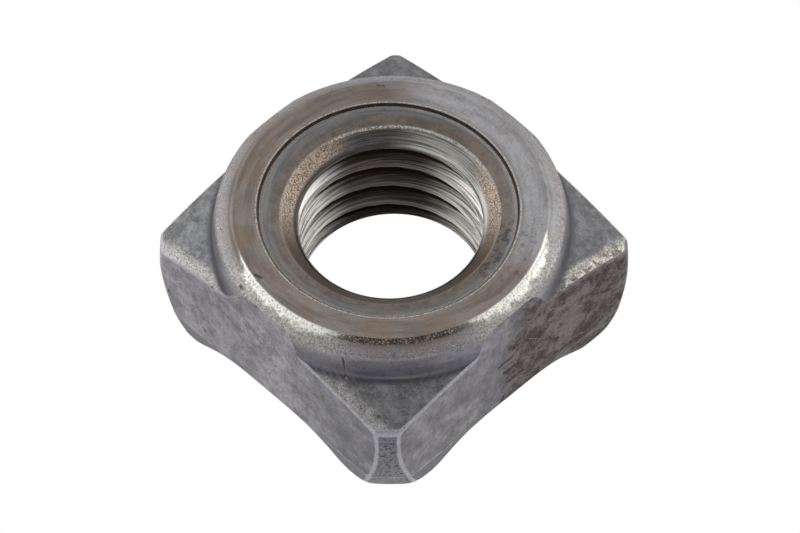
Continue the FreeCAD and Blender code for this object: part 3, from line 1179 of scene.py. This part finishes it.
# %% Bare metal and oxide
BARE_METAL, OXIDE_METAL = 0.85, 0.55
BARE_ROUGH, RUST_ROUGH = 0.46, 0.62
bare = wire.larger(wire.times(mask("boss"), boss_worn_and_highlight), mask("bore"), mask("lip"))
rough = wire.blend(bare, side_rough, BARE_ROUGH)
wire.feed(shader.inputs["Metallic"], wire.blend(bare, OXIDE_METAL, BARE_METAL))
wire.feed(shader.inputs["Roughness"], wire.blend(rust_share, rough, RUST_ROUGH))

# %% Relief of the steel
RELIEF_STRENGTH = 0.35
RELIEF_DISTANCE = 0.05 * MM
HOLE_DEPTH = 1.5
height = wire.plus(wire.times(grain, 0.6), wire.times(fine, 0.4))
holes = wire.larger(pits, dark_marks, wire.times(end_holes, mask("end")))
height = wire.minus(height, wire.times(holes, HOLE_DEPTH))
height = wire.plus(height, wire.larger(burr_share, step_burr_and_highlight))
relief = wire.add("ShaderNodeBump")
relief.inputs["Strength"].default_value = RELIEF_STRENGTH
relief.inputs["Distance"].default_value = RELIEF_DISTANCE
wire.feed(relief.inputs["Height"], height)
wire.feed(shader.inputs["Normal"], relief.outputs[0])
count_nodes("relief")

# %% [markdown]
# ## The thread
#
# The thread follows a rule, so it suits Geometry Nodes: every point of the bore's wall is pushed
# outwards by an amount that depends only on its height and its turn round the axis. Height
# over pitch, less the turn, tells how far a point is from the middle of the groove. The groove
# runs out before each end of the bore, as a tap leaves it.

# %% Sizes of the thread
PITCH = 1.75
ROOT_WIDTH = 0.30
FLANK_RUN = 0.50
RUN_OUT = 0.35
THREAD_START = 0.44
THREAD_SIZES = {"Pitch": PITCH, "Depth": GROOVE_DEPTH, "Root width": ROOT_WIDTH, "Flank run": FLANK_RUN,
                "Bore radius": BORE, "Low end": BORE_LOW, "High end": BORE_TOP, "Run out": RUN_OUT}
print("turns of thread %.1f" % ((BORE_TOP - BORE_LOW) / PITCH))

# %% Inputs of the thread tree
def thread_inputs(tree):
    face = tree.interface
    face.new_socket("Geometry", in_out="INPUT", socket_type="NodeSocketGeometry")
    for name, size in THREAD_SIZES.items():
        face.new_socket(name, in_out="INPUT", socket_type="NodeSocketFloat").default_value = size * MM
    face.new_socket("Start", in_out="INPUT", socket_type="NodeSocketFloat").default_value = THREAD_START
    face.new_socket("Steel", in_out="INPUT", socket_type="NodeSocketMaterial")
    face.new_socket("Geometry", in_out="OUTPUT", socket_type="NodeSocketGeometry")


# %% How far the groove pushes a point
def groove_radius(wire, given, place, radius):
    x, y, z = place
    turn = wire.over(wire.math("ARCTAN2", y, x), 2 * math.pi)
    phase = wire.minus(wire.over(z, given["Pitch"]), wire.plus(turn, given["Start"]))
    off = wire.math("ABSOLUTE", wire.minus(wire.math("FRACT", phase), 0.5))
    distance = wire.times(off, given["Pitch"])
    reach = wire.plus(wire.over(given["Root width"], 2.0), given["Flank run"])
    share = wire.over(wire.minus(reach, distance), given["Flank run"], clamp=True)
    above = wire.over(wire.minus(z, given["Low end"]), given["Run out"], clamp=True)
    below = wire.over(wire.minus(given["High end"], z), given["Run out"], clamp=True)
    share = wire.times(share, wire.times(above, below))
    groove = wire.plus(given["Bore radius"], wire.times(share, given["Depth"]))
    return wire.larger(radius, groove)


# %% Thread tree
def thread_tree():
    tree = bpy.data.node_groups.new("cut_thread", "GeometryNodeTree")
    thread_inputs(tree)
    wire = Nodes(tree)
    given = wire.add("NodeGroupInput").outputs
    parts = wire.add("ShaderNodeSeparateXYZ")
    wire.feed(parts.inputs[0], wire.add("GeometryNodeInputPosition").outputs[0])
    x, y, z = parts.outputs
    radius = wire.math("SQRT", wire.plus(wire.times(x, x), wire.times(y, y)))
    factor = wire.over(groove_radius(wire, given, (x, y, z), radius), radius)
    moved = wire.vector(wire.times(x, factor), wire.times(y, factor), z)
    in_bore = wire.add("GeometryNodeInputNamedAttribute", data_type="FLOAT")
    in_bore.inputs["Name"].default_value = "in_bore"
    push = wire.add("GeometryNodeSetPosition")
    wire.feed(push.inputs["Geometry"], given["Geometry"])
    wire.feed(push.inputs["Selection"], wire.math("GREATER_THAN", in_bore.outputs["Attribute"], 0.5))
    wire.feed(push.inputs["Position"], moved)
    realize = wire.add("GeometryNodeRealizeInstances")
    wire.feed(realize.inputs[0], push.outputs[0])
    paint = wire.add("GeometryNodeSetMaterial")
    wire.feed(paint.inputs["Geometry"], realize.outputs[0])
    wire.feed(paint.inputs["Material"], given["Steel"])
    wire.feed(wire.add("NodeGroupOutput").inputs[0], paint.outputs[0])
    return tree


# %% Cut the thread into the skin
def cut_thread(mesh):
    # the modifier is worked out once into a plain mesh, and taken off again
    bore_rows = np.zeros((ROWS, COLUMNS))
    bore_rows[ZONE["lower_sink"][0]:ZONE["upper_sink"][1]] = 1
    add_attribute(mesh, "in_bore", bore_rows)
    holder = bpy.data.objects.new("skin_holder", mesh)
    bpy.context.scene.collection.objects.link(holder)
    tree = thread_tree()
    cutter = holder.modifiers.new("thread", "NODES")
    cutter.node_group = tree
    sockets = {item.name: item.identifier for item in tree.interface.items_tree if item.in_out == "INPUT"}
    cutter[sockets["Steel"]] = steel
    bpy.context.view_layer.update()
    evaluated = holder.evaluated_get(bpy.context.evaluated_depsgraph_get())
    cut = bpy.data.meshes.new_from_object(evaluated)
    holder.modifiers.remove(cutter)
    bpy.data.objects.remove(holder)
    return cut


nut_mesh = cut_thread(skin)
nut_mesh.name = "square_nut"
nut = bpy.data.objects.new("square_nut", nut_mesh)
bpy.context.scene.collection.objects.link(nut)
print("triangles", sum(len(face.vertices) - 2 for face in nut_mesh.polygons))
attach(nut, "root")
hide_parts(CAD_NODE)

# %% [markdown]
# ## Floor and light
#
# The nut stands in even, white light, as in a catalogue. The world gives the even part and two
# soft lamps give the sides their difference. The floor looks plain white to the camera, and still
# takes part in the light. Steel mirrors what is round it, and where it faces the camera that is a
# dark room, so a black card stands behind the lens.

# %% Rays that see the white
def seen_directly(wire):
    # 1 for what the camera or a mirror sees, 0 for the light that falls on things
    rays = wire.add("ShaderNodeLightPath").outputs
    return wire.larger(rays["Is Camera Ray"], rays["Is Glossy Ray"], rays["Is Transmission Ray"])


# %% World
AMBIENT = 0.5


def add_world():
    world = bpy.data.worlds.new("studio")
    bpy.context.scene.world = world
    world.use_nodes = True
    wire = Nodes(world.node_tree)
    background = world.node_tree.nodes["Background"]
    strength = wire.plus(wire.times(seen_directly(wire), 1.0 - AMBIENT), AMBIENT)
    wire.feed(background.inputs["Strength"], strength)
    background.inputs["Color"].default_value = (1, 1, 1, 1)


# %% Floor
FLOOR_HALF = 0.6
PAPER = (0.9, 0.9, 0.9, 1)


def paper_material():
    paper = bpy.data.materials.new("paper")
    paper.use_nodes = True
    paper.node_tree.nodes.clear()
    wire = Nodes(paper.node_tree)
    diffuse = wire.add("ShaderNodeBsdfDiffuse")
    diffuse.inputs["Color"].default_value = PAPER
    mix = wire.add("ShaderNodeMixShader")
    wire.feed(mix.inputs[0], seen_directly(wire))
    wire.feed(mix.inputs[1], diffuse.outputs[0])
    wire.feed(mix.inputs[2], wire.add("ShaderNodeEmission").outputs[0])
    wire.feed(wire.add("ShaderNodeOutputMaterial").inputs[0], mix.outputs[0])
    return paper


def add_floor():
    corners = [(-1, -1), (1, -1), (1, 1), (-1, 1)]
    mesh = bpy.data.meshes.new("floor")
    mesh.from_pydata([(x * FLOOR_HALF, y * FLOOR_HALF, 0) for x, y in corners], [], [(0, 1, 2, 3)])
    mesh.materials.append(paper_material())
    floor = bpy.data.objects.new("floor", mesh)
    bpy.context.scene.collection.objects.link(floor)


# %% Dark card behind the camera
CARD_DISTANCE = 0.62
CARD_RADIUS = 0.26
CARD_SIDES = 48
BLACK = (0.01, 0.01, 0.01, 1)


def add_card():
    toward = bpy.context.scene.camera.matrix_world.translation.normalized()
    turn = toward.to_track_quat("Z", "Y").to_matrix().to_4x4()
    mesh = bpy.data.meshes.new("dark_card")
    shape = bmesh.new()
    bmesh.ops.create_circle(shape, cap_ends=True, segments=CARD_SIDES, radius=CARD_RADIUS,
                            matrix=Matrix.Translation(toward * CARD_DISTANCE) @ turn)
    shape.to_mesh(mesh)
    shape.free()
    cloth = bpy.data.materials.new("black_cloth")
    cloth.use_nodes = True
    cloth.node_tree.nodes["Principled BSDF"].inputs["Base Color"].default_value = BLACK
    mesh.materials.append(cloth)
    card = bpy.data.objects.new("dark_card", mesh)
    card.visible_camera = False
    bpy.context.scene.collection.objects.link(card)


# %% Lamps
LAMP_SIZE = 0.40


def add_lamp(name, place, power):
    data = bpy.data.lights.new(name, "AREA")
    data.shape = "DISK"
    data.size = LAMP_SIZE
    data.energy = power
    lamp = bpy.data.objects.new(name, data)
    lamp.location = place
    lamp.rotation_euler = (-Vector(place)).to_track_quat("-Z", "Y").to_euler()
    bpy.context.scene.collection.objects.link(lamp)
    print("%s of %.1f W at %.2f m" % (name, power, Vector(place).length))


bpy.context.scene.view_settings.view_transform = "Standard"
add_world()
add_floor()
add_card()
add_lamp("left_lamp", (-0.40, -0.10, 0.22), 0.7)
add_lamp("right_lamp", (0.10, 0.40, 0.22), 0.6)
